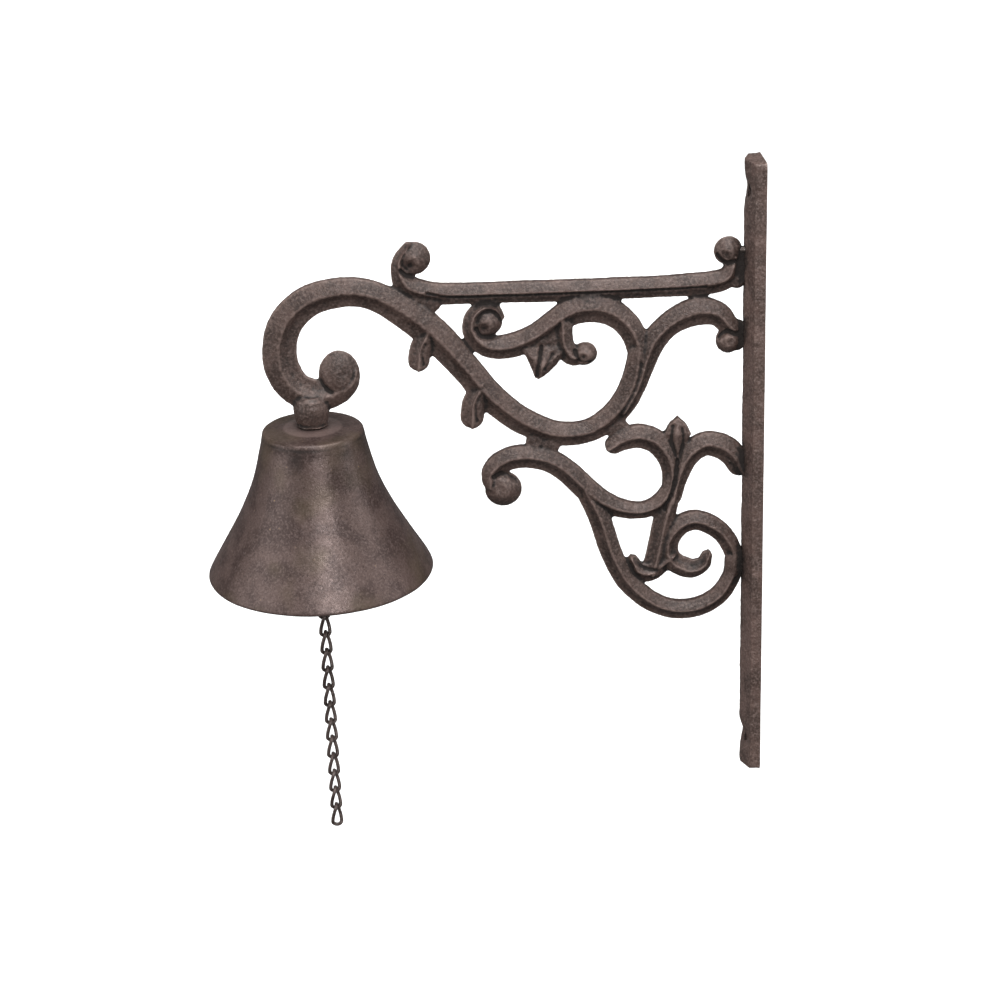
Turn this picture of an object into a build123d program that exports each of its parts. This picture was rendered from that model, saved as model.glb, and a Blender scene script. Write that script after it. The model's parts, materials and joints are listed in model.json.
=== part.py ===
"""Wall mounted bell: a ridged wall bar, a scrolled cast bracket, a fixed bell, a clapper and a pull chain.

Origin: the centre of the wall bar's flat back face. +X points into the wall, +Z is up, and the
bracket reaches out along -X in the plane Y = 0. All sizes are in millimetres.
"""

from build123d import *
import os

# Wall bar: flat back on X = 0, side faces, and a blunt ridge along the middle of its front.
BAR_HEIGHT = 253.0
BAR_WIDTH = 18.5
BAR_EDGE = 4.4
BAR_RIDGE = 7.4
BAR_LAND = 3.0
END_ROUND = 1.2
EDGE_MARGIN = 0.1

# Wall screws: one hole near each end, in a scooped seat that cuts the ridge.
SCREW_SPACING = 229.0
SCREW_HOLE_R = 2.5
SEAT_R = 14.0
SEAT_DEPTHS = (0.9, 1.6)

# Bracket casting: flat webs with a narrower raised middle on both sides.
WEB_DEPTH = 4.5
RIDGE_DEPTH = 7.5
RIDGE_SHARE = 0.45
FRONT_X = -BAR_RIDGE

# Screws that hold the bracket, driven from the back of the wall bar, heads sunk flush.
BRACKET_SCREW_Z = (91.2, 6.0, -38.0)
BRACKET_SCREW_R = 1.5
BRACKET_HEAD_R = 3.0
BRACKET_SCREW_LENGTH = 12.5
SCREW_GAP = 0.02

# Bell: plumb axis through the boss under the hook. The flares are (radius, height) along the shell.
BELL_X = -173.0
CROWN_Z = 28.5
CROWN_R = 19.6
STEP_R = 10.8
STEP_HEIGHT = 1.0
STEP_SLOPE = 1.0
CROWN_BEVEL = 1.2
MOUTH_Z = -31.2
MOUTH_R = 44.0
LIP_BEVEL = 0.8
LIP_WIDTH = 1.9
WALL = 3.6
BOSS_R = 7.2
BOSS_TOP_Z = 41.0
STEP_TOP_Z = CROWN_Z + STEP_HEIGHT
OUTER_FLARE = [(20.8, 21.5), (24.4, 8), (30, -5), (37.2, -18), (41.9, -26)]
INNER_FLARE = [(38.6, -25), (33.6, -18), (26.6, -5), (21, 8), (17.2, 21.5)]

# Eye bolt, its washer and its nut.
BOLT_R = 3.0
BOLT_GAP = 0.2
BOLT_TOP_Z = 38.5
BORE_SPARE = 0.5
WASHER_R = 7.0
WASHER_THICK = 1.2
NUT_FLATS = 10.0
NUT_THICK = 5.0
EYE_R = 5.0
EYE_WIRE_R = 1.5
EYE_TUCK = 0.4
CROWN_UNDER_Z = CROWN_Z - WALL
NUT_UNDER_Z = CROWN_UNDER_Z - WASHER_THICK - NUT_THICK
EYE_Z = NUT_UNDER_Z - EYE_R - EYE_WIRE_R + EYE_TUCK

# Clapper: a ring through the bolt's eye, then a ball on a stem with an eye at each end.
PLAY = 0.05
RING_R = 4.6
RING_WIRE_R = 1.0
TOP_EYE_R = 3.5
TOP_EYE_WIRE_R = 1.25
BALL_R = 10.0
BALL_DROP = 27.0
TAIL_DROP = 15.0
STEM_TOP_R = 1.3
STEM_R = 2.2
TAIL_R = 2.3
TAIL_WIRE_R = 1.0
RING_TOP_Z = EYE_Z - EYE_R + EYE_WIRE_R + RING_WIRE_R + PLAY
RING_Z = RING_TOP_Z - RING_R
CLAPPER_TOP_Z = RING_Z - RING_R + RING_WIRE_R + TOP_EYE_WIRE_R + PLAY
TOP_EYE_Z = CLAPPER_TOP_Z - TOP_EYE_R
BALL_Z = TOP_EYE_Z - BALL_DROP
TAIL_Z = BALL_Z - TAIL_DROP

# Pull chain: plain oval links.
LINKS = 13
LINK_WIRE_R = 0.75
LINK_PITCH = 7.8
LINK_WIDTH = 5.4
LINK_END_R = LINK_WIDTH / 2 - LINK_WIRE_R
LINK_STRAIGHT = LINK_PITCH + 2 * LINK_WIRE_R - 2 * LINK_END_R + PLAY
FIRST_LINK_TOP_Z = TAIL_Z - TAIL_R + TAIL_WIRE_R + LINK_WIRE_R + PLAY

# Bands of the bracket as (x, z, width) along their middle lines.
HOOK_AND_LOOP = [
    (-163, 43, 12), (-170, 41.5, 13), (-178, 44.5, 13.5), (-182.5, 51.5, 13.7), (-183.7, 60, 13.7),
    (-181.5, 69, 13.4), (-176, 76, 13), (-168, 80.5, 12.5), (-156, 82, 12), (-145.5, 79.2, 12),
    (-133.2, 71, 13.4), (-123.6, 62, 13.2), (-113.5, 49.5, 12), (-107, 40.5, 11.8), (-100.5, 33.5, 11.5),
    (-92.5, 27, 11.2), (-82.3, 21.8, 10.6), (-74, 20.6, 10.2), (-66, 21.8, 10), (-59, 26, 10.2),
    (-53.5, 32, 10.6), (-50, 38.5, 10.6), (-47.5, 46.5, 10.2), (-47.2, 53, 9.8), (-49, 59.5, 9.8),
    (-53, 65.5, 10.4), (-59, 69.8, 11.5), (-66, 71.2, 12), (-73, 69.8, 11.5), (-79.3, 66, 10.2),
    (-85.5, 61.8, 10), (-92, 58.8, 10.2), (-98.5, 57.3, 10), (-104.5, 57.8, 9.4), (-108.8, 61, 8.6),
    (-110.6, 66, 7.4), (-109.6, 71, 6),
]
TOP_BAND = [
    (-10.8, 87, 6.6), (-13, 81, 8.2), (-20, 78.5, 8.6), (-39, 78.1, 7.7), (-70, 78.4, 7.6),
    (-100, 79, 7.4), (-115, 79.4, 7.2), (-124, 80.2, 7.5), (-131.3, 83, 8.4), (-134.8, 88.5, 7.6),
]
RIGHT_SCROLL = [
    (-50, 38.5, 10), (-46.5, 47, 10), (-43.2, 54.3, 10), (-38, 60.8, 10), (-32, 65.3, 10.8),
    (-24, 67.8, 11.8), (-17, 66.3, 10), (-12.6, 61.5, 8.4),
]
LOWER_SCROLL = [
    (-105.3, 3, 7.6), (-104.8, 6.5, 8.4), (-100.8, 10.4, 9.4), (-93.7, 12.3, 10), (-84.1, 10.6, 10),
    (-76, 5.3, 10), (-66.8, -4.4, 10), (-60.5, -9.2, 9.2), (-54, -12, 8), (-46.5, -12.9, 7.5),
    (-39.4, -10.2, 8.2), (-34.6, -4, 9), (-33.6, 3.2, 9), (-36.1, 9.8, 9.5), (-41, 15.6, 10.3),
    (-47.5, 18.2, 10.4), (-53.5, 17.2, 9.4), (-57, 15.2, 8),
]
RING_SCROLL = [
    (-68, -5, 8), (-64.5, -12, 9), (-62.2, -18.5, 9.2), (-59.5, -28.5, 9), (-56.3, -36.5, 9),
    (-52, -44, 9), (-44.8, -51.2, 8.8), (-37.5, -55.3, 8.7), (-30, -56.6, 8.7), (-22.5, -55.3, 8.6),
    (-15.8, -50.8, 8.3), (-11.6, -43, 7.8), (-11.2, -33, 7.8), (-15.8, -24, 8.2), (-24.4, -18.6, 8.7),
    (-31.8, -20.6, 9), (-36.2, -27.5, 9), (-34.8, -34.8, 8.8), (-27.8, -38.9, 8.6), (-22.6, -37.3, 6.8),
    (-20.9, -33.8, 5),
]
RIGHT_ARC = [
    (-33.5, -6, 7.6), (-31.8, 2.3, 8.4), (-28.2, 9, 9.4), (-21.9, 13.5, 10.2), (-15.4, 12.2, 10.6),
    (-10.3, 8, 11.6), (-5.5, 3, 12),
]
STEM = [(-38, -14, 7), (-38.6, -26, 6), (-40.8, -35, 6)]
SMALL_CURL = [(-36, -34, 7), (-43, -38.8, 7), (-48, -38, 6.4), (-50.2, -34.8, 5)]
HANGING_LEAVES = [
    [(-127.5, 66, 7), (-130.2, 59.5, 8), (-131.4, 53.6, 8.6)],
    [(-107.5, 43, 8), (-110.9, 36, 9), (-111.7, 29.7, 9.4)],
]
LOOP_HOOK = [(-76.5, 66, 9), (-76, 57.5, 8), (-73, 52.2, 7.6), (-69, 52.3, 7)]
BANDS = [
    HOOK_AND_LOOP, TOP_BAND, RIGHT_SCROLL, LOWER_SCROLL, RING_SCROLL, RIGHT_ARC, STEM, SMALL_CURL,
    *HANGING_LEAVES, LOOP_HOOK,
]

# Short webs where scrolls meet each other and the wall bar, as (x, z, radius).
BRIDGES = [
    (-88, 17.5, 4), (-82, 16, 4), (-55.5, 21.3, 4.6), (-129, 77, 5), (-123.5, 74.3, 4), (-81.5, 59.5, 3.6),
    (-9.5, 88.5, 4), (-9.5, 82, 4.2), (-9.8, 60, 4.2), (-9.8, 55, 3.8), (-10, -32, 4.2), (-10, -38, 4.6),
    (-10, -44, 4.2),
]

# Round ends of the scrolls as (x, z, radius), and two pointed leaves as outlines.
KNOBS = [
    (-162.3, 52.2, 7.2), (-161.9, 45.6, 7.9), (-131.7, 94, 7), (-13.2, 91.2, 5.8), (-104.8, 68, 6.3),
    (-12.8, 55.5, 5.4), (-100.6, -1, 7.7), (-68, 53, 4.9),
]
POINTED_LEAVES = [
    [(-33.4, 7), (-38, 19), (-35.8, 22.8), (-32.3, 25.8), (-29, 22.4), (-27, 18.5)],
    [(-92, 57), (-88.7, 48), (-87.6, 44.6), (-86, 43.5), (-83.3, 44.9), (-78.6, 49.2), (-74, 57)],
]


def save(shape, node):
    """Writes one piece, or one group of identical pieces, as a STEP file."""
    shape.label = node
    export_step(shape, f"parts/{node}.step")


def across(before, after):
    """Unit vector square to the line from one point to another."""
    along = Vector(after[0] - before[0], after[1] - before[1]).normalized()
    return Vector(-along.Y, along.X)


def band(stations, share=1.0):
    """Flat band of varying width about a smooth middle line, with round ends."""
    sides = ([], [])
    last = len(stations) - 1
    for i, (x, z, width) in enumerate(stations):
        normal = across(stations[max(i - 1, 0)], stations[min(i + 1, last)])
        for side, sign in zip(sides, (1, -1)):
            side.append(Vector(x, z) + normal * (sign * share * width / 2))
    caps = []
    for i, j in ((0, 1), (last, last - 1)):
        end = Vector(*stations[i][:2])
        out = (end - Vector(*stations[j][:2])).normalized()
        tip = end + out * (share * stations[i][2] / 2)
        caps.append(ThreePointArc(sides[0][i], tip, sides[1][i]))
    return make_face([Spline(*sides[0]), Spline(*sides[1]), *caps])


def knob(x, z, radius, share=1.0):
    """Round end of a scroll."""
    return Pos(x, z) * Circle(radius * share)


def pointed_leaf(points, share=1.0):
    """Leaf outline, shrunk towards its middle by share."""
    middle = sum((Vector(*p) for p in points), Vector(0, 0)) / len(points)
    return make_face(Polyline(*[middle + (Vector(*p) - middle) * share for p in points], close=True))


def layer(share, depth):
    """All the bracket's shapes at a share of their width, as one plate of the given depth."""
    outline = Sketch()
    for stations in BANDS:
        outline += band(stations, share)
    for x, z, radius in KNOBS:
        outline += knob(x, z, radius, (1 + share) / 2)
    for x, z, radius in BRIDGES:
        outline += knob(x, z, radius, share)
    for points in POINTED_LEAVES:
        outline += pointed_leaf(points, share)
    return extrude(Plane.XZ * outline, depth / 2, both=True)


def cross_bore(x, z, radius, length):
    """Cylinder along X, from x towards -X."""
    return Pos(x - length / 2, 0, z) * Rot(0, 90, 0) * Cylinder(radius, length)


def make_wall_bar():
    """Bar with a ridged front, a scooped seat and a hole for each wall screw."""
    half = BAR_WIDTH / 2
    section = Polyline(
        (0, half), (-BAR_EDGE, half), (-BAR_RIDGE, BAR_LAND / 2), (-BAR_RIDGE, -BAR_LAND / 2),
        (-BAR_EDGE, -half), (0, -half), close=True,
    )
    bar = extrude(make_face(section), BAR_HEIGHT / 2, both=True)
    corners = bar.edges().filter_by(Axis.X).filter_by(lambda e: abs(e.center().Y) > half - EDGE_MARGIN)
    bar = fillet(corners, END_ROUND)
    for end, depth in zip((1, -1), SEAT_DEPTHS):
        z = end * SCREW_SPACING / 2
        seat = Cylinder(SEAT_R, 2 * BAR_WIDTH)
        bar -= Pos(-BAR_RIDGE - SEAT_R + depth, 0, z) * Rot(90, 0, 0) * seat
        bar -= cross_bore(1, z, SCREW_HOLE_R, BAR_RIDGE + 2)
    for z in BRACKET_SCREW_Z:
        bar -= bracket_screw(z, SCREW_GAP)
    return bar


def bracket_screw(z, gap=0.0):
    """Countersunk screw along -X, its head flush with the bar's back."""
    cone = BRACKET_HEAD_R - BRACKET_SCREW_R
    shank = cross_bore(0, z, BRACKET_SCREW_R + gap, BRACKET_SCREW_LENGTH + gap)
    head = Cone(BRACKET_SCREW_R + gap, BRACKET_HEAD_R + gap, cone)
    return shank + Pos(-cone / 2, 0, z) * Rot(0, 90, 0) * head


def make_bracket():
    """Scrolled casting with the boss that carries the bell."""
    casting = layer(1.0, WEB_DEPTH) + layer(RIDGE_SHARE, RIDGE_DEPTH)
    boss_height = BOSS_TOP_Z - STEP_TOP_Z
    boss = Pos(BELL_X, 0, STEP_TOP_Z + boss_height / 2) * Cylinder(BOSS_R, boss_height)
    casting += boss
    reach = 2 * abs(BELL_X)
    casting &= Pos(FRONT_X - reach / 2, 0, 0) * Box(reach, BAR_WIDTH, BAR_HEIGHT)
    bore_height = BOLT_TOP_Z + BORE_SPARE - STEP_TOP_Z
    casting -= Pos(BELL_X, 0, STEP_TOP_Z + bore_height / 2) * Cylinder(BOLT_R + SCREW_GAP, bore_height)
    for z in BRACKET_SCREW_Z:
        casting -= bracket_screw(z, SCREW_GAP)
    return casting


def make_bell():
    """Flared shell with a flat crown, a low step on it and a hole for the eye bolt."""
    outer = [(CROWN_R, CROWN_Z - CROWN_BEVEL), *OUTER_FLARE, (MOUTH_R, MOUTH_Z + LIP_BEVEL)]
    inner = [(MOUTH_R - LIP_WIDTH, MOUTH_Z), *INNER_FLARE, (CROWN_R - WALL, CROWN_UNDER_Z)]
    hole = BOLT_R + BOLT_GAP
    step = [(hole, CROWN_UNDER_Z), (hole, STEP_TOP_Z), (STEP_R - STEP_SLOPE, STEP_TOP_Z), (STEP_R, CROWN_Z)]
    section = [
        Polyline(step[-1], (CROWN_R - CROWN_BEVEL, CROWN_Z), outer[0]),
        Spline(*outer),
        Polyline(outer[-1], (MOUTH_R - LIP_BEVEL, MOUTH_Z), inner[0]),
        Spline(*inner),
        Polyline(inner[-1], *step),
    ]
    shell = revolve(Plane.XZ * make_face(section), Axis.Z)
    return Pos(BELL_X, 0, 0) * shell


def ring(radius, wire, across_x):
    """Round wire ring standing upright, in the plane X = 0 or in the plane Y = 0."""
    turn = Rot(0, 90, 0) if across_x else Rot(90, 0, 0)
    return turn * Torus(radius, wire)


def make_washer():
    """Flat washer under the crown."""
    flat = Cylinder(WASHER_R, WASHER_THICK) - Cylinder(BOLT_R + BOLT_GAP, 2 * WASHER_THICK)
    return Pos(BELL_X, 0, CROWN_UNDER_Z - WASHER_THICK / 2) * flat


def make_nut():
    """Hexagon nut that clamps the bell against the boss."""
    hexagon = extrude(RegularPolygon(NUT_FLATS / 2, 6, major_radius=False), NUT_THICK)
    return Pos(BELL_X, 0, NUT_UNDER_Z) * (hexagon - Cylinder(BOLT_R + SCREW_GAP, 3 * NUT_THICK))


def make_eye_bolt():
    """Bolt with a ring eye at its lower end."""
    foot = EYE_Z + EYE_R
    shank = Pos(BELL_X, 0, (BOLT_TOP_Z + foot) / 2) * Cylinder(BOLT_R, BOLT_TOP_Z - foot)
    return shank + Pos(BELL_X, 0, EYE_Z) * ring(EYE_R, EYE_WIRE_R, False)


def make_clapper():
    """Ball on a stem, with an eye above for the ring and one below for the chain."""
    stem_top = TOP_EYE_Z - TOP_EYE_R
    stem_foot = TAIL_Z + TAIL_R
    stem = Pos(0, 0, (stem_top + stem_foot) / 2) * Cone(STEM_TOP_R, STEM_R, stem_top - stem_foot)
    whole = stem + Pos(0, 0, BALL_Z) * Sphere(BALL_R)
    whole += Pos(0, 0, TOP_EYE_Z) * ring(TOP_EYE_R, TOP_EYE_WIRE_R, False)
    whole += Pos(0, 0, TAIL_Z) * ring(TAIL_R, TAIL_WIRE_R, False)
    return Pos(BELL_X, 0, 0) * whole


def make_link(index):
    """Oval chain link; every second one is turned a quarter turn."""
    half = LINK_STRAIGHT / 2
    path = [
        Line((-LINK_END_R, -half), (-LINK_END_R, half)),
        ThreePointArc((-LINK_END_R, half), (0, half + LINK_END_R), (LINK_END_R, half)),
        Line((LINK_END_R, half), (LINK_END_R, -half)),
        ThreePointArc((LINK_END_R, -half), (0, -half - LINK_END_R), (-LINK_END_R, -half)),
    ]
    oval = Plane.XZ * Wire(path)
    wire = sweep(Plane(origin=oval @ 0, z_dir=oval % 0) * Circle(LINK_WIRE_R), path=oval)
    top = FIRST_LINK_TOP_Z - index * LINK_PITCH
    turn = 90 if index % 2 == 0 else 0
    return Pos(BELL_X, 0, top - half - LINK_END_R) * Rot(0, 0, turn) * wire


os.makedirs("parts", exist_ok=True)
save(make_wall_bar(), "wall_bar")
save(make_bracket(), "scroll_bracket")
save(Compound([bracket_screw(z) for z in BRACKET_SCREW_Z]), "bracket_screws")
save(make_bell(), "bell")
save(make_washer(), "crown_washer")
save(make_nut(), "crown_nut")
save(make_eye_bolt(), "eye_bolt")
save(Pos(BELL_X, 0, RING_Z) * ring(RING_R, RING_WIRE_R, True), "clapper_ring")
save(make_clapper(), "clapper")
for number in range(LINKS):
    save(make_link(number), f"chain_link_{number + 1:02d}")
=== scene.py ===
import json

import bmesh
import bpy
import numpy as np
from mathutils import Matrix, Vector

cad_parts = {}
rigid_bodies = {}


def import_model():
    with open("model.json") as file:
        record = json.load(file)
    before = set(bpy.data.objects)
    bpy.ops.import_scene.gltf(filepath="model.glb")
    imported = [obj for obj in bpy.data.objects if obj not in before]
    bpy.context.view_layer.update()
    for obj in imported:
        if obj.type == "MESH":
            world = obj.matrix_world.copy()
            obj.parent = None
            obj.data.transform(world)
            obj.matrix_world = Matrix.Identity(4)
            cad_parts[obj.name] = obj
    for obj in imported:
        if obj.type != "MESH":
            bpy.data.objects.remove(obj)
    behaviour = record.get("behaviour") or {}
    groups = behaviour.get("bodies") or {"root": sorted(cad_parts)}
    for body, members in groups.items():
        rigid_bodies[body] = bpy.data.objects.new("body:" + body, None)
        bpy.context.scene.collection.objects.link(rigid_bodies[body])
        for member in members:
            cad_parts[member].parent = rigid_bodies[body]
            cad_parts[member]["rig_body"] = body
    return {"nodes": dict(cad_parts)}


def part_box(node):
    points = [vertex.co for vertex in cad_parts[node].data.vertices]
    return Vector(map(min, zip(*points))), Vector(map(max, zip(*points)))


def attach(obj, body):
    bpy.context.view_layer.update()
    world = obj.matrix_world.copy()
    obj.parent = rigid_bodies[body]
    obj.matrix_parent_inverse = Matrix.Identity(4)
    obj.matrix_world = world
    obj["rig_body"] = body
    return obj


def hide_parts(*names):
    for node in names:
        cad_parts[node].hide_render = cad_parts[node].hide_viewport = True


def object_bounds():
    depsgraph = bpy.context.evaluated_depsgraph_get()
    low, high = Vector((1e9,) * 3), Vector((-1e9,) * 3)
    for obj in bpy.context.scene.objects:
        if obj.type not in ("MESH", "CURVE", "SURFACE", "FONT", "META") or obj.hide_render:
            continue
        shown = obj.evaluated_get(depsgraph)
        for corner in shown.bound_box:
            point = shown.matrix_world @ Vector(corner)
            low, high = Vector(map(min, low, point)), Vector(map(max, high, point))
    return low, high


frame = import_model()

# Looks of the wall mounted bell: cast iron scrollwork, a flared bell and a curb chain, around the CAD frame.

CAD_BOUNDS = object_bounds()
MM = 0.001

# -------------------------------------------------- shapes, in millimetres until they are meshes

# Ribbon section as (share of the half width, depth from the middle plane), front half from edge to edge.
# On the right of a band's direction of travel the surface falls away steeply from the ridge and hollows out.
HALF_SECTION = [
    (-1.0, 0.6), (-0.97, 1.0), (-0.88, 1.2), (-0.62, 1.35), (-0.38, 1.75), (-0.16, 2.9), (-0.04, 3.65),
    (0.04, 3.75), (0.14, 3.65), (0.5, 2.9), (0.88, 1.9), (0.97, 1.4), (1.0, 0.8),
]
SECTION = [(u, -y) for u, y in HALF_SECTION] + [(u, y) for u, y in reversed(HALF_SECTION)]
RIDGE_HALF = 3.75

# A band narrower than FULL_DEPTH_WIDTH is shallower too, down to LEAST_DEPTH of the section's depth.
# The tip of its rounded end is END_TIP wide, and its cross sections are BAND_STEP apart.
FULL_DEPTH_WIDTH = 5
LEAST_DEPTH = 0.45
END_TIP = 0.3
BAND_STEP = 0.9

# Bands of the bracket as (x, z, width) along their middle lines, on the CAD model's lines. A band runs so
# that its hollow side faces the way it does on the casting.
HOOK_AND_DIAGONAL = [
    (-155.3, 50.5, 3), (-156.6, 47, 6), (-159.2, 44.6, 9), (-163, 43, 12), (-170, 41.5, 13),
    (-178, 44.5, 13.5), (-182.5, 51.5, 13.7), (-183.7, 60, 13.7), (-181.5, 69, 13.4), (-176, 76, 13),
    (-168, 80.5, 12.5), (-156, 82, 12), (-145.5, 79.2, 12),
    (-133.2, 71, 13.4), (-123.6, 62, 13.2), (-113.5, 49.5, 12), (-107, 40.5, 11.8), (-100.5, 33.5, 11.5),
    (-92.5, 27, 11.2), (-82.3, 21.8, 10.6), (-74, 20.6, 10.2), (-66, 21.8, 10), (-59, 26, 10.2),
    (-53.5, 32, 10.6), (-50, 38.5, 10.6), (-48, 45, 10.2), (-47.2, 52, 9),
]
LOOP_TOP = [
    (-99.2, 69.5, 3), (-101.5, 73.2, 4), (-106, 74, 5), (-109.8, 71, 6), (-110.9, 66, 7.4),
    (-108.8, 61, 8.6),
    (-104.5, 57.8, 9.4), (-98.5, 57.3, 10), (-92, 58.8, 10.2), (-85.5, 61.8, 10), (-79.3, 66, 10.2),
    (-73, 69.8, 11.5), (-66, 71.2, 12), (-59, 69.8, 11.5), (-53, 65.5, 10.4), (-49, 59.5, 9.8),
    (-47.2, 53, 9.4),
]
TOP_BAND = [
    (-133.5, 99, 3.6), (-137, 94, 5), (-137, 88.5, 7.4), (-134, 83, 9.4), (-125.5, 80, 9.2),
    (-115, 79.3, 8.8),
    (-100, 79, 8.8), (-70, 78.5, 9), (-39, 78.3, 9), (-20, 78.8, 9.4), (-13, 81.2, 8.6), (-10.8, 87, 6.6),
]
RIGHT_SCROLL = [
    (-52.6, 29.5, 5), (-48.6, 36.5, 6.4), (-46, 43.5, 7.4), (-44.2, 50, 9), (-41.8, 56, 10),
    (-37.6, 61.2, 10), (-32, 65.3, 10.8), (-24, 67.8, 11.8), (-17, 66.3, 10), (-12.6, 61.5, 8.4),
]
LOWER_SCROLL = [
    (-105.3, 3, 7.6), (-104.8, 6.5, 8.4), (-100.8, 10.4, 9.4), (-93.7, 12.3, 10), (-84.1, 10.6, 10),
    (-76, 5.3, 10), (-66.8, -4.4, 10), (-60.5, -9.2, 9.2), (-54, -12, 8), (-46.5, -12.9, 7.5),
    (-39.8, -10.4, 8), (-35.4, -5, 8), (-34, 0, 7),
]
ARCH = [
    (-57, 15.2, 8), (-53.5, 17.2, 9.4), (-47.5, 18.2, 10.4), (-41, 15.6, 10.3), (-36.6, 9.8, 9.2),
    (-35, 3.2, 8),
    (-35.4, -3, 7),
]
RING_OUTER = [
    (-68, -5, 8), (-64.5, -12, 9), (-62.2, -18.5, 9.2), (-59.5, -28.5, 9), (-56.3, -36.5, 9),
    (-52, -44, 9), (-44.8, -51.2, 8.8), (-37.5, -55.3, 8.7), (-30, -56.6, 8.7), (-22.5, -55.3, 8.6),
    (-15.4, -50.8, 8.3), (-10.9, -43, 7.8), (-10.2, -36, 7.8),
]
RING_INNER = [
    (-20.9, -33.8, 5), (-22.6, -37.3, 6.8), (-27.8, -38.9, 8.6), (-34.8, -34.8, 8.8), (-36.2, -27.5, 9),
    (-31.8, -20.6, 9), (-24.4, -18.6, 8.7), (-15.4, -24, 8.2), (-10.4, -33, 7.8), (-10.4, -40, 7),
]
RIGHT_ARC = [
    (-34, -8, 6.5), (-31.9, 1, 8), (-28.2, 9, 9.4), (-21.9, 13.5, 10.2), (-15.4, 12.2, 10.6),
    (-11, 8.6, 10.4), (-8.6, 4, 9),
]
STEM = [(-36, -10, 8), (-38, -18, 9), (-40, -28, 9), (-42, -37, 9)]
SMALL_CURL = [(-50.4, -34.6, 5.6), (-48.4, -38.4, 7.6), (-43.6, -39.6, 8.6), (-36.5, -34.5, 8)]
HANGING_LEAVES = [
    [(-128.4, 63, 7), (-130.2, 59, 8.4), (-131.2, 53.6, 8.8)],
    [(-108.6, 41, 7.5), (-110.9, 35.6, 9.2), (-111.7, 29.7, 9.6)],
]
LOOP_HOOK = [(-76.5, 64, 9), (-76, 57.5, 8.6), (-73, 52.4, 8), (-69, 52.3, 7)]
BANDS = [
    HOOK_AND_DIAGONAL, LOOP_TOP, TOP_BAND, RIGHT_SCROLL, LOWER_SCROLL, ARCH, RING_OUTER, RING_INNER,
    RIGHT_ARC, STEM, SMALL_CURL, *HANGING_LEAVES, LOOP_HOOK,
]

# Low webs where scrolls meet each other and the wall bar, as (x, z, radius).
WEBS = [
    (-88, 18.2, 3.8), (-82, 16.4, 4.2), (-55.5, 21.3, 4.8), (-130, 77.4, 5.2), (-125.8, 76.2, 4.2),
    (-84.5, 59, 4),
    (-79.5, 60, 4), (-9.6, 89, 4), (-9.6, 84, 4.4), (-9.8, 80, 4), (-9.8, 60, 4.2), (-9.8, 55, 4),
    (-9, -38, 5),
]

# Round ends of the scrolls as (x, z, half width, half height), and two pointed leaves as outlines.
KNOBS = [
    (-161.6, 49, 8.2, 10.3), (-131.6, 94, 6.8, 6.8), (-13.2, 91.2, 5.8, 5.8), (-104.4, 67.8, 5.8, 6),
    (-12.8, 55.8, 5.2, 5.6), (-100.6, -0.8, 7.5, 7.5), (-68, 53, 5.1, 4.9),
]
POINTED_LEAVES = [
    [(-33.4, 7), (-38, 19), (-35.8, 22.8), (-32.3, 25.8), (-29, 22.4), (-27, 18.5)],
    [(-92, 57), (-88.7, 48), (-87.6, 44.6), (-86, 43.5), (-83.3, 44.9), (-78.6, 49.2), (-74, 57)],
]

# How far discs and leaves stand out: discs as (share of the radius, depth), leaves at their edge.
KNOB_RISES = [(0.05, 4.3), (0.3, 4.0), (0.55, 3.2), (0.76, 2.1), (0.92, 1.0), (1.0, 0.4)]
WEB_RISES = [(0.05, 1.7), (0.6, 1.6), (0.9, 1.2), (1.0, 0.5)]
DISC_SEGMENTS = 40
LEAF_EDGE = 1.7

# Creases worked into the casting as (points, half width, depth), and dimples as (x, z, radius, depth).
CREASES = [
    ([(-169.4, 49.5), (-168, 46), (-165, 43)], 0.9, 0.8),
    ([(-136.6, 90), (-134.4, 87.8), (-130.6, 87), (-127.5, 88.4)], 0.9, 1.3),
    ([(-109, 65.5), (-107.3, 62.6), (-103.5, 61.8), (-99.5, 63.6)], 0.9, 1.3),
    ([(-104.5, 5), (-100, 6), (-95, 3)], 0.9, 1.1),
    ([(-17.5, 90), (-14.5, 87), (-10.5, 87.4)], 0.9, 1.2),
    ([(-127, 80.6), (-118, 78.6), (-100, 78.2), (-70, 77.8), (-39, 77.6), (-22, 78)], 0.7, 0.9),
    ([(-17, 57.5), (-14, 59.6), (-10.3, 59)], 0.9, 1.2),
    ([(-72, 55), (-69.8, 50.8), (-66, 50.2)], 0.8, 0.9),
    ([(-128.6, 60.5), (-130, 57), (-129.4, 52.6)], 0.8, 0.6),
    ([(-108.8, 38.6), (-110.4, 34.4), (-110, 28.6)], 0.8, 0.6),
    ([(-84.5, 57), (-85.8, 50), (-86.4, 45.5)], 0.8, 0.8),
    ([(-80.5, 54), (-83.5, 48)], 0.7, 0.5),
    ([(-32.8, 8), (-35, 16), (-34.4, 22)], 0.7, 0.6),
    ([(-32, 8), (-30.4, 16), (-30.8, 21)], 0.7, 0.6),
    ([(-32.8, 8), (-33.4, 2), (-34.7, -4), (-37.5, -12.6)], 0.9, 1.1),
    ([(-49.5, -33), (-46, -37), (-41, -38)], 0.8, 0.8),
]
DIMPLES = [
    (-159.6, 50, 3.0, 0.7), (-133, 91.6, 2.2, 1.7), (-106.2, 66, 1.7, 1.2), (-14.4, 90.4, 1.6, 0.8),
    (-12.6, 56, 1.5, 0.6), (-101.8, 0.4, 2.4, 0.7), (-68.8, 52.6, 1.4, 0.9),
]

# Creases and dimples fade in over these depths from the middle plane, so that they stay on the faces.
CARVE_FROM = 0.8
CARVE_FULL = 2.0
CREASE_STEP = 1.0

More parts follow.
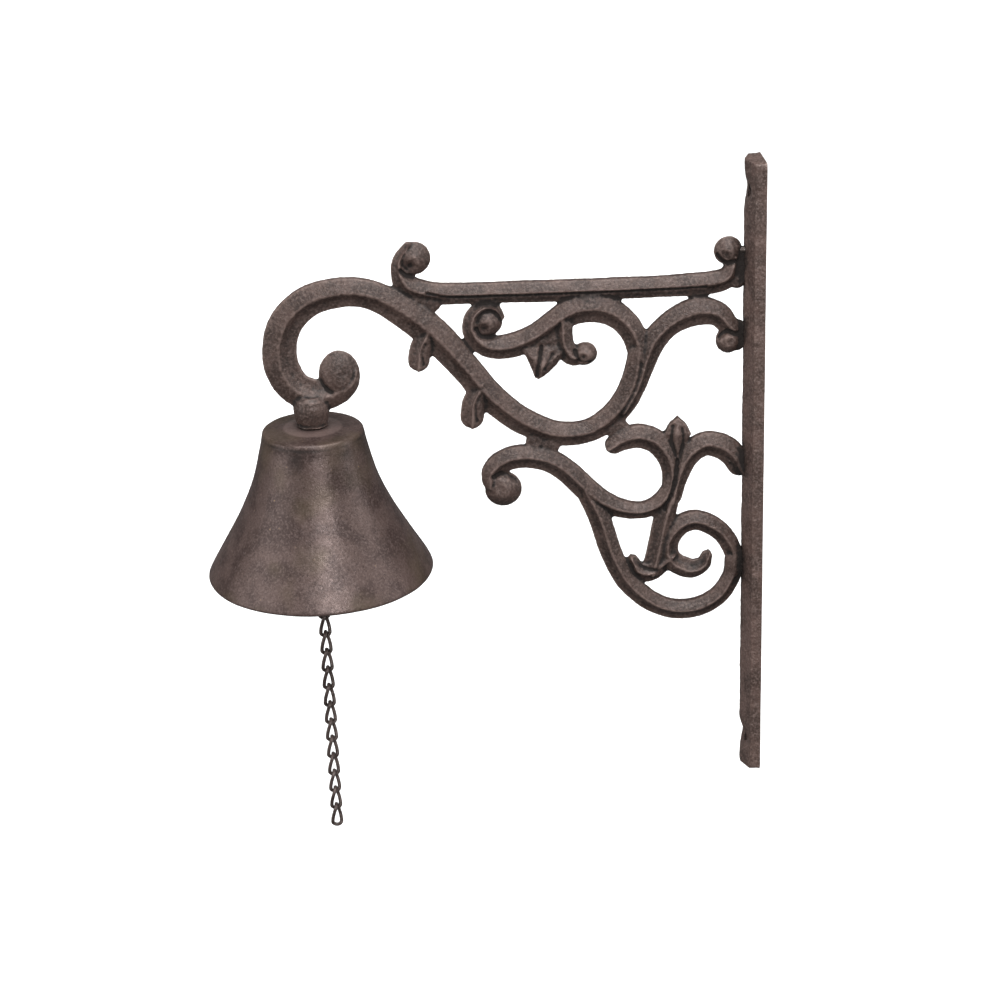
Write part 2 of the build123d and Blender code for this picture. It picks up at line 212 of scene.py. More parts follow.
# Boss over the bell as (radius, height), and where the bar's ridge and the bracket's end are.
BELL_X = -173.0
BOSS_PROFILE = [(5.2, 42), (6.5, 40.5), (7.2, 37.5), (7.2, 35), (6.6, 32), (6.1, 30.6), (6.4, 29.5)]
BOSS_SEGMENTS = 48
BAR_RIDGE_X = -7.4
BRACKET_END_X = -6.2

# Notches in the bar's ridge over its two wall screws: height either way, half length, depths below and
# above.
NOTCH_Z = 114.5
NOTCH_HALF = 4.6
NOTCH_DEPTHS = (2.8, 2.0)

# The bar's sides waver inwards by up to twice SIDE_WAVER of its width, in waves of SIDE_WAVE millimetres.
# Its back stays BACK_GAP inside the CAD bar's, and the cast skin fades in over SKIN_FADE from there.
SIDE_WAVER = 0.02
SIDE_WAVE = 8.0
BACK_GAP = 0.001
SKIN_FADE = 1.5

# Painted contact shadow where the bracket meets the bar, as (height, reach).
BAR_CONTACTS = [(88, 5), (60, 6), (8, 9), (-38, 8)]

# Bell profile from the crown's hole, over the outside to the lip and back up the inside, as (radius,
# height).
HOLE_R = 3.2
CROWN = [(HOLE_R, 29.4), (8.6, 29.35), (10.6, 29.05), (12.4, 28.55), (17.4, 28.45), (18.9, 28.2),
         (19.6, 27.4)]
NECK = [(19.75, 26.6), (20.0, 25.4)]
FLARE = [(20.8, 21.5), (24.4, 8), (30, -5), (37.2, -18), (41.9, -26), (43.8, -29.6), (44, -30.5)]
LIP = [(43.7, -31.1), (42.9, -31.2), (42.1, -30.9)]
INSIDE = [(38.6, -25), (33.6, -18), (26.6, -5), (21, 8), (17.2, 21.5), (15.8, 24.7), (HOLE_R, 24.9)]
BELL_SEGMENTS = 320

# Spacing of the profile's points, a further point on the flat crown, and how far out the side's
# painted darkening starts.
BELL_STEP = 0.8
LIP_STEP = 0.4
CROWN_MIDDLE_R = 14
OUTER_R = 18.5

# Chain link: wire, pitch and width of the CAD link, with an eighth turn of twist to each end.
LINK_WIRE_R = 0.75
LINK_SAMPLES = 64
WIRE_SIDES = 14
LINK_FACING = np.radians(45)
LINK_TWIST = np.radians(45)
LINK_SIDE_SLOPE = 3
LINK_OUTWARD = (1, 1, 0.6)

# Casting: size of the remeshed faces, weld distance, sizes and shares of the skin's pits, lumps and waves.
VOXEL = 0.42
WELD = 0.002
LATTICE = 32
PIT_SIZE, PIT_SHARE = 0.9, 0.6
LUMP_SIZE, LUMP_SHARE = 1.9, 0.4
WAVE_SIZE = 9.0


def peak(values, centre, reach):
    """1 at the centre, falling smoothly to about a third at the reach and to nothing beyond."""
    return np.exp(-((values - centre) / reach) ** 2)


def ramp(values, start, end):
    """0 at the start, 1 at the end and straight between them."""
    return np.clip((values - start) / (end - start), 0, 1)


def smooth_line(stations, step):
    """Points along a smooth line through the stations; width, where given, is smoothed with them."""
    known = np.array(stations, float)
    padded = np.vstack([2 * known[0] - known[1], known, 2 * known[-1] - known[-2]])
    points = []
    for a, b, c, d in zip(padded, padded[1:], padded[2:], padded[3:]):
        count = max(2, int(np.hypot(*(c - b)[:2]) / step))
        for t in np.linspace(0, 1, count, endpoint=False):
            points.append(0.5 * (2 * b + (c - a) * t + (2 * a - 5 * b + 4 * c - d) * t**2
                                 + (3 * b - a - 3 * c + d) * t**3))
    points.append(known[-1])
    return np.array(points)


def round_end(end, before, steps=6):
    """Further stations that close a band with a half round."""
    out = end[:2] - before[:2]
    out = out / np.linalg.norm(out)
    rows = []
    for angle in np.linspace(0, np.pi / 2, steps + 1)[1:]:
        width = max(end[2] * np.cos(angle), END_TIP)
        rows.append([*(end[:2] + out * end[2] / 2 * np.sin(angle)), width])
    return rows


def tube_faces(rows, sides, closed):
    """Faces of a tube of several rows of points, with its ends capped unless it closes on itself."""
    faces = []
    last = rows if closed else rows - 1
    for i in range(last):
        for k in range(sides):
            a, b = i * sides + k, i * sides + (k + 1) % sides
            c, d = ((i + 1) % rows) * sides + (k + 1) % sides, ((i + 1) % rows) * sides + k
            faces.append((a, b, c, d))
    if not closed:
        faces += [tuple(range(sides))[::-1], tuple((rows - 1) * sides + k for k in range(sides))]
    return faces


def ribbon(stations):
    """Closed ribbon with a ridge along the middle of both sides."""
    line = smooth_line(stations, BAND_STEP)
    line = np.vstack([round_end(line[0], line[1])[::-1], line, round_end(line[-1], line[-2])])
    along = np.gradient(line[:, :2], axis=0)
    along /= np.linalg.norm(along, axis=1)[:, None]
    verts = []
    for (x, z, width), (tx, tz) in zip(line, along):
        flatten = min(1.0, LEAST_DEPTH + (1 - LEAST_DEPTH) * width / FULL_DEPTH_WIDTH)
        for share, depth in SECTION:
            verts.append((x - tz * share * width / 2, depth * flatten, z + tx * share * width / 2))
    return verts, tube_faces(len(line), len(SECTION), False)


def lathe(profile, segments, place, closed=False):
    """Turned shape of (radius, height) points; place gives the point for (across, along, height)."""
    verts = []
    for radius, height in profile:
        for angle in np.linspace(0, 2 * np.pi, segments, endpoint=False):
            verts.append(place(radius * np.cos(angle), radius * np.sin(angle), height))
    return verts, tube_faces(len(profile), segments, closed)


def dome(x, z, half_width, half_height, rises):
    """Oval disc, domed on both sides; rises are (share of the radius, depth)."""
    profile = [(r, -h) for r, h in rises] + [(r, h) for r, h in rises[::-1]]
    return lathe(profile, DISC_SEGMENTS, lambda a, b, h: (x + a * half_width, h, z + b * half_height))


def knob(x, z, half_width, half_height):
    """Round end of a scroll."""
    return dome(x, z, half_width, half_height, KNOB_RISES)


def web(x, z, radius):
    """Low filling between two bands."""
    return dome(x, z, radius, radius, WEB_RISES)


def pointed_leaf(outline):
    """Leaf with flanks that rise to its middle on both sides."""
    count = len(outline)
    middle = np.mean(outline, axis=0)
    verts = [(x, y, z) for y in (-LEAF_EDGE, LEAF_EDGE) for x, z in outline]
    verts += [(middle[0], -RIDGE_HALF, middle[1]), (middle[0], RIDGE_HALF, middle[1])]
    faces = []
    for i in range(count):
        j = (i + 1) % count
        faces += [(i, j, count + j, count + i), (i, 2 * count, j), (count + i, count + j, 2 * count + 1)]
    return verts, faces


def join(shapes):
    """Several shapes as one list of points and one of faces."""
    verts, faces = [], []
    for more_verts, more_faces in shapes:
        start = len(verts)
        verts += more_verts
        faces += [tuple(start + i for i in face) for face in more_faces]
    return verts, faces


def new_object(name, shape, scale=MM):
    """Mesh object from points in millimetres, with all faces turned outwards."""
    verts, faces = shape
    mesh = bpy.data.meshes.new(name)
    mesh.from_pydata([tuple(scale * c for c in v) for v in verts], [], faces)
    work = bmesh.new()
    work.from_mesh(mesh)
    bmesh.ops.recalc_face_normals(work, faces=work.faces)
    work.to_mesh(mesh)
    work.free()
    obj = bpy.data.objects.new(name, mesh)
    bpy.context.scene.collection.objects.link(obj)
    return obj


def solid_copy(node, name):
    """A CAD node's mesh as a new object, with its seams welded."""
    mesh = frame["nodes"][node].data.copy()
    mesh.materials.clear()
    obj = bpy.data.objects.new(name, mesh)
    bpy.context.scene.collection.objects.link(obj)
    work = bmesh.new()
    work.from_mesh(mesh)
    bmesh.ops.remove_doubles(work, verts=work.verts, dist=WELD * MM)
    work.to_mesh(mesh)
    work.free()
    return obj


def fuse(obj):
    """Overlapping closed shapes become one skin of even small faces."""
    modifier = obj.modifiers.new("fuse", "REMESH")
    modifier.mode = "VOXEL"
    modifier.voxel_size = VOXEL * MM
    evaluated = obj.evaluated_get(bpy.context.evaluated_depsgraph_get())
    mesh = bpy.data.meshes.new_from_object(evaluated)
    obj.modifiers.clear()
    obj.data = mesh


def points_of(obj):
    """A mesh's points in millimetres."""
    flat = np.empty(len(obj.data.vertices) * 3, np.float32)
    obj.data.vertices.foreach_get("co", flat)
    return flat.reshape(-1, 3).astype(float) / MM


def set_points(obj, points):
    """Writes a mesh's points, given in millimetres."""
    obj.data.vertices.foreach_set("co", (points * MM).astype(np.float32).ravel())
    obj.data.update()


def normals_of(obj):
    """Unit normals at a mesh's points."""
    flat = np.empty(len(obj.data.vertices) * 3, np.float32)
    obj.data.vertex_normals.foreach_get("vector", flat)
    return flat.reshape(-1, 3).astype(float)


def edges_of(obj):
    """The two ends of each edge."""
    flat = np.empty(len(obj.data.edges) * 2, np.int32)
    obj.data.edges.foreach_get("vertices", flat)
    return flat.reshape(-1, 2)


def relaxed(values, edges, rounds, share=0.6):
    """Values at the points, each drawn towards its neighbours' mean a number of times."""
    a, b = edges[:, 0], edges[:, 1]
    count = len(values)
    degree = np.bincount(a, minlength=count) + np.bincount(b, minlength=count)
    values = values.copy()
    for _ in range(rounds):
        for axis in range(values.shape[1]):
            column = values[:, axis]
            total = np.bincount(a, column[b], count) + np.bincount(b, column[a], count)
            values[:, axis] = (1 - share) * column + share * total / np.maximum(degree, 1)
    return values


def lattice_noise(points, size, seed):
    """Smooth noise from -1 to 1 whose lumps are about size millimetres across."""
    lattice = np.random.default_rng(seed).uniform(-1, 1, (LATTICE, LATTICE, LATTICE))
    cell = np.floor(points / size).astype(int)
    inside = points / size - cell
    inside = inside * inside * (3 - 2 * inside)
    total = np.zeros(len(points))
    for corner in np.ndindex(2, 2, 2):
        weight = np.prod(np.where(np.array(corner) == 1, inside, 1 - inside), axis=1)
        index = (cell + corner) % LATTICE
        total += weight * lattice[index[:, 0], index[:, 1], index[:, 2]]
    return total


def distance_to_line(flat, line):
    """Distance in the plane from each point to a line of points."""
    best = np.full(len(flat), np.inf)
    for a, b in zip(line, line[1:]):
        along = b - a
        t = np.clip(((flat - a) @ along) / (along @ along), 0, 1)
        best = np.minimum(best, np.linalg.norm(flat - a - t[:, None] * along, axis=1))
    return best


def cast_surface(obj, seed, fine=0.15, wavy=0.26, keep=None):
    """Sand-cast skin: small pits and lumps and slight waviness, always inwards of the true surface."""
    points = points_of(obj)
    pits = lattice_noise(points, PIT_SIZE, seed) * PIT_SHARE
    lumps = lattice_noise(points, LUMP_SIZE, seed + 1) * LUMP_SHARE
    depth = fine * (1 + pits + lumps)
    depth += wavy * 0.5 * (1 + lattice_noise(points, WAVE_SIZE, seed + 2))
    if keep is not None:
        depth = depth * keep(points)
    set_points(obj, points - normals_of(obj) * depth[:, None])


def mark_crevices(obj, rounds, scale, painted_darkening=None):
    """Stores how hollow (above 0) or sharp (below 0) the surface is at each point, with any painted
    darkening added, for the patina and its painted shade.
    """
    points, edges = points_of(obj), edges_of(obj)
    hollow = ((relaxed(points, edges, rounds) - points) * normals_of(obj)).sum(axis=1) / scale
    hollow = relaxed(hollow[:, None], edges, 2)[:, 0]
    if painted_darkening is not None:
        hollow = hollow + painted_darkening(points)
    attribute = obj.data.attributes.new("crevice", "FLOAT", "POINT")
    attribute.data.foreach_set("value", np.clip(hollow, -1, 1).astype(np.float32))


def shade_smooth(obj):
    """Smooth shading on every face."""
    obj.data.polygons.foreach_set("use_smooth", [True] * len(obj.data.polygons))
    obj.data.update()


# ---------------------------------------------------------------- materials


class Patina:
    """Builds one procedural iron finish, node by node, in real-scale object coordinates."""

    def __init__(self, name, metallic):
        """Starts the material; metallic is uniform."""
        self.material = bpy.data.materials.new(name)
        self.material.use_nodes = True
        self.tree = self.material.node_tree
        self.shader = self.tree.nodes["Principled BSDF"]
        self.shader.inputs["Metallic"].default_value = metallic
        self.coords = self.tree.nodes.new("ShaderNodeTexCoord").outputs["Object"]

    def node(self, kind, **settings):
        """New node with its settings."""
        made = self.tree.nodes.new(kind)
        for key, value in settings.items():
            setattr(made, key, value)
        return made

    def link(self, out, into):
        """Joins an output to an input."""
        self.tree.links.new(out, into)

    def noise(self, size, detail=3.0, stretch=(1, 1, 1)):
        """Noise from 0 to 1 with lumps of about size millimetres."""
        place = self.node("ShaderNodeMapping")
        place.inputs["Scale"].default_value = stretch
        made = self.node("ShaderNodeTexNoise")
        made.inputs["Scale"].default_value = 1 / (size * MM)
        made.inputs["Detail"].default_value = detail
        self.link(self.coords, place.inputs["Vector"])
        self.link(place.outputs["Vector"], made.inputs["Vector"])
        return made.outputs["Fac"]

    def spread(self, value, low, high, to_low=0.0, to_high=1.0):
        """Stretches a value's useful range, with smooth ends."""
        made = self.node("ShaderNodeMapRange", interpolation_type="SMOOTHSTEP")
        for key, number in (("From Min", low), ("From Max", high), ("To Min", to_low), ("To Max", to_high)):
            made.inputs[key].default_value = number
        self.link(value, made.inputs["Value"])
        return made.outputs["Result"]

    def blend(self, amount, first, second):
        """Colour between first and second; each is a colour or another blend."""
        made = self.node("ShaderNodeMix", data_type="RGBA")
        self.link(amount, made.inputs["Factor"])
        for socket, colour in ((made.inputs[6], first), (made.inputs[7], second)):
            if isinstance(colour, tuple):
                socket.default_value = (*colour, 1)
            else:
                self.link(colour, socket)
        return made.outputs[2]

    def mask(self, size, detail, low, high, most):
        """Noise whose range from low to high is spread from 0 to most."""
        return self.spread(self.noise(size, detail), low, high, 0, most)

    def crevice(self):
        """How hollow or sharp the surface is, with the painted darkening, as mark_crevices stored it."""
        return self.node("ShaderNodeAttribute", attribute_name="crevice").outputs["Fac"]

    def bump(self, sizes):
        """Fine relief as (size, height) pairs in millimetres."""
        normal = None
        for size, height in sizes:
            made = self.node("ShaderNodeBump")
            made.inputs["Distance"].default_value = height * MM
            made.inputs["Strength"].default_value = 1.0
            self.link(self.noise(size, 4.0), made.inputs["Height"])
            if normal is not None:
                self.link(normal, made.inputs["Normal"])
            normal = made.outputs["Normal"]
        self.link(normal, self.shader.inputs["Normal"])


# Masks of the patina as (size in millimetres, detail, low, high, most); the brown patches' most is set
# per iron.
CLOUDS = (9, 6.0, 0.38, 0.62, 1.0)
GRAINS = (0.9, 8.0, 0.42, 0.72, 0.55)
PITS = (0.6, 6.0, 0.54, 0.72, 0.65)
BROWN_PATCHES = (26, 2.0, 0.5, 0.66)
SPECKS = (0.9, 1.0, 0.79, 0.82, 0.8)
PIT_SHADE = 0.35
WEAR_NOISE = (2.5, 4.0)
WEAR_RANGE = (0.3, 0.7)
PATCH_BROWN = (0.085, 0.062, 0.035)
SPECK_GOLD = (0.32, 0.2, 0.06)

# Ranges of the crevice value as (low, high, least, most): dirt and painted shade in hollows, rubbed edges,
# matt dirt.
DIRT_AND_SHADE = (0.06, 0.55, 0, 0.92)
RUBBED = (-0.12, -0.6, 0, 0.5)
MATT_DIRT = (0.1, 0.6, 0, 0.92)
# Near-black colour of the dirt and painted shade in hollows.
DIRT_AND_SHADE_COLOUR = (0.011, 0.008, 0.007)
RUBBED_GAIN = 1.35


def iron(name, dark, middle, light, metallic=0.25, rough=(0.42, 0.62), golden=0.0,
         relief=((0.5, 0.1), (1.6, 0.16))):
    """Antique brown cast iron: mottled, black in its hollows with dirt and painted shade, and rubbed lighter
    on its edges.
    """
    made = Patina(name, metallic)
    colour = made.blend(made.mask(*CLOUDS), dark, middle)
    colour = made.blend(made.mask(*GRAINS), colour, light)
    colour = made.blend(made.mask(*PITS), colour, tuple(PIT_SHADE * c for c in dark))
    if golden:
        colour = made.blend(made.mask(*BROWN_PATCHES, golden), colour, PATCH_BROWN)
        colour = made.blend(made.mask(*SPECKS), colour, SPECK_GOLD)
    hollow = made.crevice()
    # Dirt and painted shade: hollows and painted darkening go towards near black.
    colour = made.blend(made.spread(hollow, *DIRT_AND_SHADE), colour, DIRT_AND_SHADE_COLOUR)
    colour = made.blend(made.spread(hollow, *RUBBED), colour, tuple(RUBBED_GAIN * c for c in light))
    made.link(colour, made.shader.inputs["Base Color"])
    worn = made.spread(made.noise(*WEAR_NOISE), *WEAR_RANGE, *rough)
    sooty = made.spread(hollow, *MATT_DIRT)
    matt = made.node("ShaderNodeMath", operation="MAXIMUM")
    made.link(worn, matt.inputs[0])
    made.link(sooty, matt.inputs[1])
    made.link(matt.outputs["Value"], made.shader.inputs["Roughness"])
    made.bump(relief)
    return made.material


def floor_material():
    """Matt pale floor with a faint grain."""
    made = Patina("pale_floor", 0.0)
    colour = made.blend(made.noise(40, 2.0), (0.93, 0.93, 0.93), (0.95, 0.95, 0.95))
    made.link(colour, made.shader.inputs["Base Color"])
    made.shader.inputs["Roughness"].default_value = 0.9
    return made.material


CAST_IRON = iron(
    "cast_iron_brown", (0.04, 0.0245, 0.02), (0.075, 0.047, 0.039), (0.17, 0.12, 0.104),
    metallic=0.15, rough=(0.4, 0.56), relief=((0.5, 0.2), (1.6, 0.26)),
)
# Painted light: the bracket's cast iron with its colours raised, so the bar shows lighter than the bracket.
BAR_IRON_PAINTED_LIGHTER = iron(
    "bar_iron_painted_lighter", (0.062, 0.039, 0.032), (0.117, 0.074, 0.062), (0.24, 0.172, 0.152),
    metallic=0.15, rough=(0.4, 0.56), relief=((0.5, 0.2), (1.6, 0.26)),
)
BELL_IRON = iron(
    "bell_iron_brown", (0.049, 0.03, 0.0265), (0.088, 0.0575, 0.0505), (0.155, 0.11, 0.1),
    metallic=0.4, rough=(0.34, 0.46), golden=0.4, relief=((0.45, 0.06), (1.4, 0.09)),
)
CLAPPER_IRON = iron("clapper_iron_dark", (0.03, 0.022, 0.02), (0.055, 0.042, 0.037), (0.1, 0.08, 0.07))
DARK_STEEL = iron(
    "browned_steel", (0.045, 0.034, 0.03), (0.075, 0.06, 0.054), (0.13, 0.11, 0.1),
    metallic=0.8, rough=(0.32, 0.5), relief=((0.4, 0.03), (1.2, 0.04)),
)
CHAIN_STEEL = iron(
    "browned_wire", (0.05, 0.034, 0.03), (0.1, 0.073, 0.066), (0.19, 0.15, 0.14),
    metallic=0.3, rough=(0.3, 0.46), relief=((0.35, 0.025), (1.0, 0.04)),
)


def finish_piece(obj, material, body, slot, *nodes):
    """Gives a piece its finish, its body and the CAD nodes it stands for; the slot is not used."""
    obj.data.materials.clear()
    obj.data.materials.append(material)
    shade_smooth(obj)
    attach(obj, body)
    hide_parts(*nodes)


# ---------------------------------------------------------------- pieces


def make_bracket():
    """Scrollwork casting with the hook and the boss."""
    boss = lathe(BOSS_PROFILE, BOSS_SEGMENTS, lambda a, b, h: (BELL_X + a, b, h))
    shapes = [ribbon(stations) for stations in BANDS]
    shapes += [knob(*place) for place in KNOBS]
    shapes += [web(*place) for place in WEBS]
    shapes += [pointed_leaf(outline) for outline in POINTED_LEAVES]
    obj = new_object("scrollwork", join([*shapes, boss]))
    fuse(obj)
    points, edges = points_of(obj), edges_of(obj)
    points = relaxed(points, edges, rounds=1, share=0.5)
    flat = points[:, [0, 2]]
    cut = np.zeros(len(points))
    for line, half_width, depth in CREASES:
        away = distance_to_line(flat, smooth_line(line, CREASE_STEP))
        cut = np.maximum(cut, depth * peak(away, 0, half_width))
    for x, z, radius, depth in DIMPLES:
        away = np.linalg.norm(flat - (x, z), axis=1)
        cut = np.maximum(cut, depth * peak(away, 0, radius))
    face = ramp(np.abs(points[:, 1]), CARVE_FROM, CARVE_FULL)
    points[:, 1] -= np.sign(points[:, 1]) * cut * face
    points[:, 0] = np.minimum(points[:, 0], BRACKET_END_X)
    set_points(obj, points)
    cast_surface(obj, seed=11)

    def painted_darkening(at):
        """Painted shade: a contact shadow by the bar, shade low on the boss and under the top band's ridge.
        """
        by_bar = peak(at[:, 0], BAR_RIDGE_X, 2.6)
        on_boss = ramp(at[:, 2], 39, 31) * (np.abs(at[:, 0] - BELL_X) < 9)
        in_top_band = ramp(at[:, 0], -129, -123) * ramp(at[:, 0], -14, -20)
        under_ridge = ramp(at[:, 2], 83, 78) * (at[:, 2] > 73.8)
        return 0.8 * by_bar + 0.28 * on_boss + 0.22 * in_top_band * under_ridge

    # Painted shade is added to the crevice value here.
    mark_crevices(obj, rounds=8, scale=0.2, painted_darkening=painted_darkening)
    finish_piece(obj, CAST_IRON, "frame", "cast_iron", "scroll_bracket")


def make_wall_bar():
    """Ridged bar with slightly wavy edges, its back left flat."""
    obj = solid_copy("wall_bar", "wall_bar_casting")
    fuse(obj)
    set_points(obj, relaxed(points_of(obj), edges_of(obj), rounds=2, share=0.5))
    points = points_of(obj)
    side = lattice_noise(points * (0, 0, 1), SIDE_WAVE, 31)
    points[:, 1] *= 1 - SIDE_WAVER * (1 + side)
    notch = np.where(points[:, 2] < 0, NOTCH_DEPTHS[0], NOTCH_DEPTHS[1])
    notch = notch * peak(np.abs(points[:, 2]), NOTCH_Z, NOTCH_HALF)
    points[:, 0] = np.clip(points[:, 0], BAR_RIDGE_X + notch, -BACK_GAP)
    set_points(obj, points)
    cast_surface(obj, seed=21, wavy=0.3, keep=lambda at: ramp(at[:, 0], 0, -SKIN_FADE))

    def painted_darkening(at):
        """Painted contact shadow on the ridge where the bracket's bands meet it."""
        near = np.zeros(len(at))
        for z, reach in BAR_CONTACTS:
            near = np.maximum(near, np.exp(-((at[:, 2] - z) / reach) ** 4) * peak(at[:, 1], 0, 4.2))
        return 0.6 * near * (at[:, 0] < -3)

    mark_crevices(obj, rounds=10, scale=0.55, painted_darkening=painted_darkening)
    finish_piece(obj, BAR_IRON_PAINTED_LIGHTER, "frame", "cast_iron", "wall_bar")


def make_bell():
    """Flared shell, turned in one closed loop and then roughened."""
    inside = smooth_line(INSIDE[:-2], BELL_STEP)
    outside = smooth_line([*NECK, *FLARE], BELL_STEP)
    crown = smooth_line(CROWN[4:], BELL_STEP)
    lip = smooth_line(LIP, LIP_STEP)
    profile = [*CROWN[:4], (CROWN_MIDDLE_R, CROWN[4][1]), *crown, *outside, *lip, *inside, *INSIDE[-2:]]
    obj = new_object("bell_shell", lathe(profile, BELL_SEGMENTS, lambda a, b, h: (BELL_X + a, b, h), True))
    cast_surface(obj, seed=41, fine=0.05, wavy=0.16)

    def painted_darkening(at):
        """Painted shade round the boss and along the crown's edge, a mottled darkening of the side towards
        the top, and two painted dark reflections down the front.
        """
        radius = np.hypot(at[:, 0] - BELL_X, at[:, 1])
        outer = radius > OUTER_R
        # Painted shade round the boss's foot and a painted dark line at the crown's edge.
        under_boss = peak(radius, 7, 1.6) * (at[:, 2] > 28)
        edge_line = peak(at[:, 2], 26.2, 0.7) * outer
        # Mottled darkening of the side towards the top.
        mottle = np.clip(0.5 + lattice_noise(at, 7.0, 43) + 0.5 * lattice_noise(at, 2.5, 44), 0, 1)
        neck = ramp(at[:, 2], 2, 24) * outer * mottle
        # Painted dark reflections: two dark streaks at fixed sides of the bell.
        side = (at[:, 0] - BELL_X) / radius
        streaks = peak(side, -0.3, 0.16) + 0.8 * peak(side, 0.62, 0.13)
        streaks *= ramp(at[:, 2], -22, 8) * (0.7 + 0.6 * lattice_noise(at, 4.0, 45)) * outer
        return 0.25 * under_boss + 0.2 * edge_line + 0.2 * neck + 0.16 * streaks

    mark_crevices(obj, rounds=6, scale=0.6, painted_darkening=painted_darkening)
    finish_piece(obj, BELL_IRON, "frame", "bell_iron", "bell")


def make_link(node):
    """Curb link: an oval of round wire with a quarter turn of twist from top to bottom."""
    low, high = (np.array(corner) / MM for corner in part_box(node))
    centre = (low + high) / 2
    half_height = (high[2] - low[2]) / 2 - LINK_WIRE_R
    half_width = max(high[0] - low[0], high[1] - low[1]) / 2 - LINK_WIRE_R
    straight = half_height - half_width
    verts = []
    line = []
    for angle in np.linspace(0, 2 * np.pi, LINK_SAMPLES, endpoint=False):
        across, up = half_width * np.cos(angle), half_width * np.sin(angle)
        up += straight * np.clip(np.sin(angle) * LINK_SIDE_SLOPE, -1, 1)
        turn = LINK_FACING + LINK_TWIST * up / half_height
        line.append((across * np.cos(turn), across * np.sin(turn), up))
    line = np.array(line)
    along = np.roll(line, -1, axis=0) - np.roll(line, 1, axis=0)
    along /= np.linalg.norm(along, axis=1)[:, None]
    outward = line * LINK_OUTWARD
    first = outward - (outward * along).sum(axis=1)[:, None] * along
    first /= np.linalg.norm(first, axis=1)[:, None]
    second = np.cross(along, first)
    for point, a, b in zip(line, first, second):
        for side in np.linspace(0, 2 * np.pi, WIRE_SIDES, endpoint=False):
            verts.append(tuple(centre + point + LINK_WIRE_R * (a * np.cos(side) + b * np.sin(side))))
    faces = tube_faces(LINK_SAMPLES, WIRE_SIDES, True)
    obj = new_object(node.replace("chain_link", "curb_link"), (verts, faces))
    finish_piece(obj, CHAIN_STEEL, frame["nodes"][node]["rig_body"], "chain_steel", node)


def repaint(node, material):
    """A better finish for a CAD node that keeps its own shape."""
    slots = frame["nodes"][node].data.materials
    slots.clear()
    slots.append(material)


make_bracket()
make_wall_bar()
make_bell()
for node_name in sorted(frame["nodes"]):
    if node_name.startswith("chain_link_"):
        make_link(node_name)
for node_name in ("bracket_screws", "crown_washer", "crown_nut", "eye_bolt", "clapper_ring"):
    repaint(node_name, DARK_STEEL)
repaint("clapper", CLAPPER_IRON)

# ---------------------------------------------------------------- floor, light and camera

FLOOR_DROP = 0.16
FLOOR_HALF = 9.0
SURROUNDINGS_LIGHT = 0.16
SUN_STRENGTH = 3.5
SUN_ANGLE = np.radians(50)
OBJECT_MIDDLE = (-0.1, 0, 0)
BELL_MIDDLE = (-0.173, 0, 0)

# Soft boxes as (name, place, target, width, height, watts, seen in reflections).
SOFT_BOXES = [
    ("left_box", (-1.25, -0.45, 0.35), BELL_MIDDLE, 0.9, 1.0, 5.5, True),
    ("right_strip", (0.1, -1.25, 0.7), BELL_MIDDLE, 0.14, 1.1, 13, True),
    ("right_box", (1.1, -0.35, 0.3), OBJECT_MIDDLE, 0.5, 0.9, 4, True),
    ("left_fill", (-1.4, -0.3, 0.1), OBJECT_MIDDLE, 1.2, 1.2, 7, False),
    ("back_box", (-0.5, 1.4, 0.25), OBJECT_MIDDLE, 1.0, 1.0, 9, False),
]


def make_floor():
    """Plain pale floor under the object, which neither lights it nor is mirrored in it."""
    z = CAD_BOUNDS[0][2] - FLOOR_DROP
    corners = [(-FLOOR_HALF, -FLOOR_HALF, z), (FLOOR_HALF, -FLOOR_HALF, z),
               (FLOOR_HALF, FLOOR_HALF, z), (-FLOOR_HALF, FLOOR_HALF, z)]
    floor = new_object("floor", (corners, [(0, 1, 2, 3)]), 1.0)
    floor.data.materials.append(floor_material())
    floor.visible_diffuse = False
    floor.visible_glossy = False


def aim(obj, target):
    """Turns a light so that it shines at a point."""
    obj.rotation_euler = (Vector(target) - obj.location).to_track_quat("-Z", "Y").to_euler()


def softbox(name, location, target, width, height, watts, mirrored):
    """Rectangular soft light, seen in reflections or not."""
    light = bpy.data.lights.new(name, "AREA")
    light.shape = "RECTANGLE"
    light.size = width
    light.size_y = height
    light.energy = watts
    obj = bpy.data.objects.new(name, light)
    bpy.context.scene.collection.objects.link(obj)
    obj.location = location
    aim(obj, target)
    obj.visible_glossy = mirrored


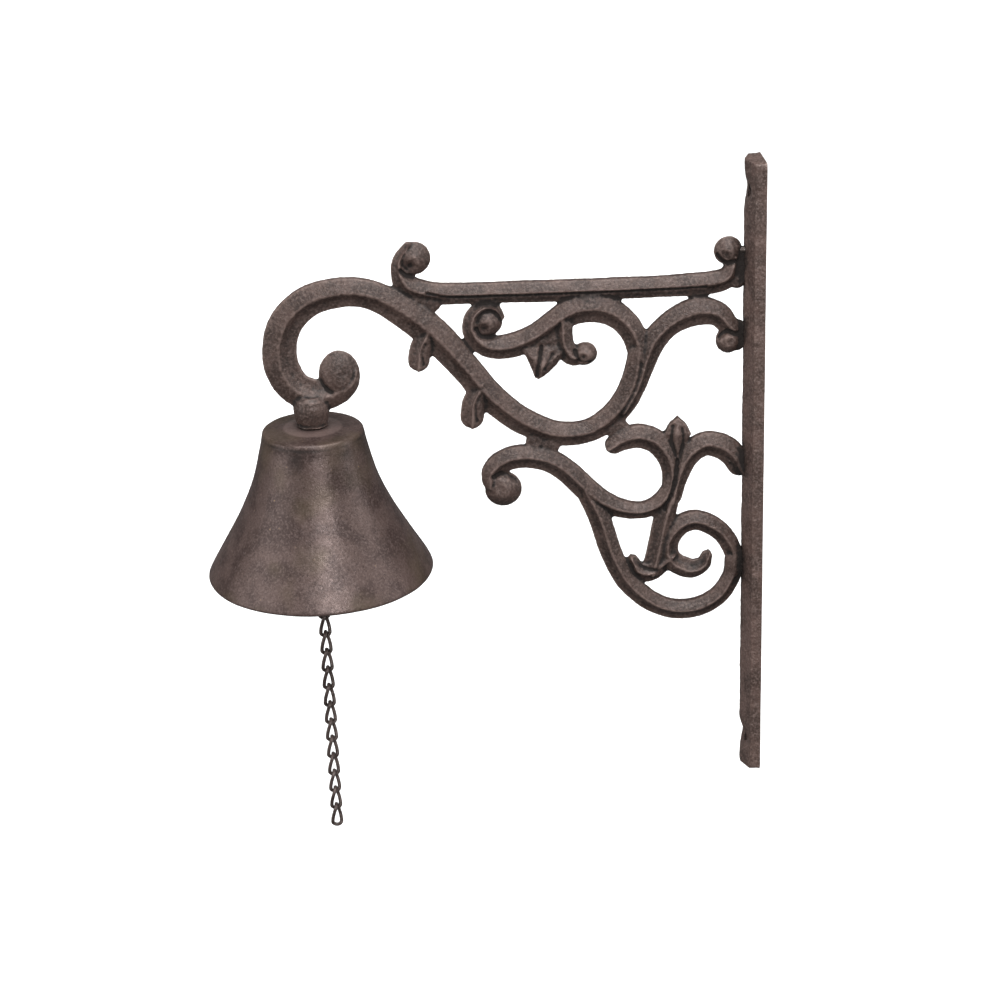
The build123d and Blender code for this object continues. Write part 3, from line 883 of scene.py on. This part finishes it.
def make_light():
    """Surroundings white to the camera and dim as light, a broad light overhead and the soft boxes."""
    world = bpy.data.worlds.new("studio")
    bpy.context.scene.world = world
    world.use_nodes = True
    background = world.node_tree.nodes["Background"]
    background.inputs["Color"].default_value = (1, 1, 1, 1)
    rays = world.node_tree.nodes.new("ShaderNodeLightPath")
    strength = world.node_tree.nodes.new("ShaderNodeMapRange")
    strength.inputs["To Min"].default_value = SURROUNDINGS_LIGHT
    strength.inputs["To Max"].default_value = 1.0
    world.node_tree.links.new(rays.outputs["Is Camera Ray"], strength.inputs["Value"])
    world.node_tree.links.new(strength.outputs["Result"], background.inputs["Strength"])
    overhead = bpy.data.lights.new("overhead", "SUN")
    overhead.energy = SUN_STRENGTH
    overhead.angle = SUN_ANGLE
    sun = bpy.data.objects.new("overhead", overhead)
    bpy.context.scene.collection.objects.link(sun)
    sun.location = (0.05, -0.35, 1.5)
    aim(sun, OBJECT_MIDDLE)
    for box in SOFT_BOXES:
        softbox(*box)


# Camera, from the photograph's viewing angle: height, slight turn and roll, distance and lens.
CAMERA_TARGET = Vector((-0.10204, 0, -0.005615))
CAMERA_AZIMUTH = np.radians(-3.0)
CAMERA_ELEVATION = np.radians(22.589)
CAMERA_ROLL = np.radians(1.83)
CAMERA_DISTANCE = 0.95635
CAMERA_LENS_MM = 88.35
SENSOR_MM = 36
CLIP_START = 0.01


def make_camera():
    """Camera above and in front of the object."""
    turn, rise, roll = CAMERA_AZIMUTH, CAMERA_ELEVATION, CAMERA_ROLL
    right = Vector((np.cos(turn), np.sin(turn), 0))
    back = Vector((np.sin(turn) * np.cos(rise), -np.cos(turn) * np.cos(rise), np.sin(rise)))
    up = back.cross(right)
    across = right * np.cos(roll) - up * np.sin(roll)
    upward = right * np.sin(roll) + up * np.cos(roll)
    camera = bpy.data.cameras.new("camera")
    camera.lens = CAMERA_LENS_MM
    camera.sensor_width = SENSOR_MM
    camera.clip_start = CLIP_START
    obj = bpy.data.objects.new("camera", camera)
    bpy.context.scene.collection.objects.link(obj)
    place = CAMERA_TARGET + back * CAMERA_DISTANCE
    obj.matrix_world = Matrix((
        (across.x, upward.x, back.x, place.x), (across.y, upward.y, back.y, place.y),
        (across.z, upward.z, back.z, place.z), (0, 0, 0, 1),
    ))
    bpy.context.scene.camera = obj


make_floor()
make_light()
make_camera()
bpy.context.scene.view_settings.view_transform = "Standard"

bpy.context.view_layer.update()
